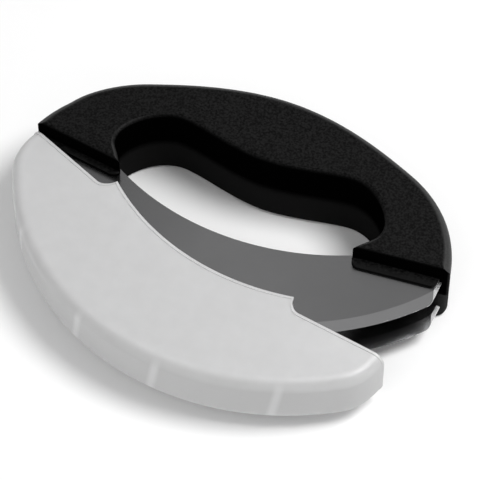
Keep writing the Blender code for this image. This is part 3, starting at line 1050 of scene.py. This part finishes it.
# The cover's ribs: four upright webs moulded in one with the rim, between the two blades. They stiffen the
# channel, and over each the rim is painted paler in a streak, as painted light through the web.
rib_thickness = 0.0018
rib_depth = 0.0070
rib_blade_gap = 0.0008


def rib_tree(material):
    """An upright web on every point, turned to stand square to the rim."""
    tree = new_tree("cover_rib", ("thickness", "depth", "height"))
    given = tree.nodes.new("NodeGroupInput").outputs
    size = vector(tree, given["thickness"], given["depth"], given["height"])
    web = step(tree, "GeometryNodeMeshCube", links={"Size": size})
    turn = step(tree, "GeometryNodeInputNamedAttribute", {"Name": "turn"}, data_type="FLOAT")
    placed = step(tree, "GeometryNodeInstanceOnPoints")
    tree.links.new(given["Geometry"], placed.inputs["Points"])
    tree.links.new(web.outputs["Mesh"], placed.inputs["Instance"])
    tree.links.new(vector(tree, z=turn.outputs[0]), placed.inputs["Rotation"])
    finish_tree(tree, placed.outputs["Instances"], material)
    return tree


rib_outer = inner_radius + cover_wall / 3
rib_inner = inner_radius - rib_depth
rib_middle = (rib_outer + rib_inner) / 2
rib_sizes = {
    "thickness": rib_thickness,
    "depth": rib_outer - rib_inner,
    "height": 2 * (blade_spacing / 2 - blade_thickness / 2 - rib_blade_gap),
}
points = []
for angle in rib_angles:
    point = (rib_middle * math.sin(angle), edge_centre_y - rib_middle * math.cos(angle), mid_z)
    points.append(point)
ribs = grow("cover_ribs", points, rib_tree(clouded), rib_sizes, clouded, rib_angles)
ribs = soften(ribs, cover_edge)
ribs.data.transform(swing)
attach(ribs, "cover")
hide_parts("blade_cover")


# The table: one large sheet of white card, a hair below the knife. It carries the knife's soft shadow, and
# glows faintly to the camera, so that it runs into the white round it.
floor_reach = 3.0
floor_drop = 0.00005
card_dark = grey(0.925)
card_light = grey(0.935)
card_glow = 0.03


def in_sight(tree):
    """1 for what the camera sees, straight, mirrored or through glass, and 0 for the light on the object."""
    rays = tree.nodes.new("ShaderNodeLightPath").outputs
    seen = sum_of(tree, rays["Is Camera Ray"], rays["Is Glossy Ray"], "MAXIMUM")
    return sum_of(tree, seen, rays["Is Transmission Ray"], "MAXIMUM")


floor_mesh = bpy.data.meshes.new("table")
shape = bmesh.new()
bmesh.ops.create_grid(shape, x_segments=1, y_segments=1, size=floor_reach)
shape.to_mesh(floor_mesh)
shape.free()
floor_mesh.transform(Matrix.Translation((0, 0, -floor_drop)))
floor = bpy.data.objects.new("table", floor_mesh)
bpy.context.scene.collection.objects.link(floor)
white, tree, shader = shader_of("white_table", grey(0.93), 0.8)
fibres = spread(tree, noise(tree, 30.0, 2.0), 0.0, 1.0)
tree.links.new(blended(tree, fibres, card_dark, card_light), shader.inputs["Base Color"])
shader.inputs["Specular IOR Level"].default_value = 0.1
shader.inputs["Emission Color"].default_value = (1.0, 1.0, 1.0, 1.0)
glow = sum_of(tree, in_sight(tree), card_glow, "MULTIPLY")
tree.links.new(glow, shader.inputs["Emission Strength"])
floor_mesh.materials.append(white)


# The light: a large soft lamp above and behind the right end, and a pale studio round it. The studio's light
# is stronger from the front, and what the steel mirrors of it is darker overhead.
lamp_size = 0.53
lamp_power = 10.6
lamp_place = (0.537, 0.171, 0.996)
lamp_direction = (0.537, 0.206, 0.996)
wall_height = (0.35, 0.75)
ceiling_height = (0.80, 0.93)
dark_ceiling = 0.30
ceiling_patch = 0.20
front_direction = (-0.500, -0.866, 0.0)
front_light = 1.3
even_light = 0.31

lamp_data = bpy.data.lights.new("soft_lamp", "AREA")
lamp_data.shape = "DISK"
lamp_data.size = lamp_size
lamp_data.energy = lamp_power
lamp = bpy.data.objects.new("soft_lamp", lamp_data)
lamp.location = lamp_place
lamp.rotation_euler = Vector(lamp_direction).to_track_quat("Z", "Y").to_euler()
bpy.context.scene.collection.objects.link(lamp)

world = bpy.data.worlds.new("studio")
bpy.context.scene.world = world
world.use_nodes = True
tree = world.node_tree
background = tree.nodes["Background"]
background.inputs["Color"].default_value = (1.0, 1.0, 1.0, 1.0)
direction = tree.nodes.new("ShaderNodeTexCoord").outputs["Generated"]
rise = parts_of(tree, direction)["Z"]
walls = spread(tree, rise, 1.0, dark_ceiling, *wall_height)
backdrop = sum_of(tree, walls, spread(tree, rise, 0.0, ceiling_patch, *ceiling_height))
front = vector_sum(tree, "DOT_PRODUCT", direction, front_direction)
front = spread(tree, front, 0.0, 1.0, 0.0, 1.0)
front = sum_of(tree, sum_of(tree, front, front, "MULTIPLY"), front_light, "MULTIPLY")
pick = tree.nodes.new("ShaderNodeMix")
tree.links.new(in_sight(tree), pick.inputs["Factor"])
tree.links.new(sum_of(tree, front, even_light), pick.inputs["A"])
tree.links.new(backdrop, pick.inputs["B"])
tree.links.new(pick.outputs["Result"], background.inputs["Strength"])


# The camera: a long lens at the photograph's angle, fitted to the blades' arcs and the handle's outline.
azimuth = math.radians(24.99)
elevation = math.radians(51.97)
roll = math.radians(0.05)
distance = 1.05810
focal_pixels = 2600
frame_pixels = 480
sensor_width = 36.0
nearest = 0.01
target = Vector((-0.00111, -0.03467, 0.0))
right = Vector((math.cos(azimuth), math.sin(azimuth), 0))
back = Vector(
    (
        math.sin(azimuth) * math.cos(elevation),
        -math.cos(azimuth) * math.cos(elevation),
        math.sin(elevation),
    )
)
above = back.cross(right)
across = right * math.cos(roll) + above * math.sin(roll)
upward = above * math.cos(roll) - right * math.sin(roll)
camera_data = bpy.data.cameras.new("camera")
camera_data.sensor_width = sensor_width
camera_data.lens = focal_pixels / frame_pixels * sensor_width
camera_data.clip_start = nearest
camera = bpy.data.objects.new("camera", camera_data)
turn = Matrix((across, upward, back)).transposed().to_4x4()
camera.matrix_world = Matrix.Translation(target + back * distance) @ turn
bpy.context.scene.collection.objects.link(camera)
bpy.context.scene.camera = camera
bpy.context.scene.view_settings.view_transform = "Standard"

bpy.context.view_layer.update()
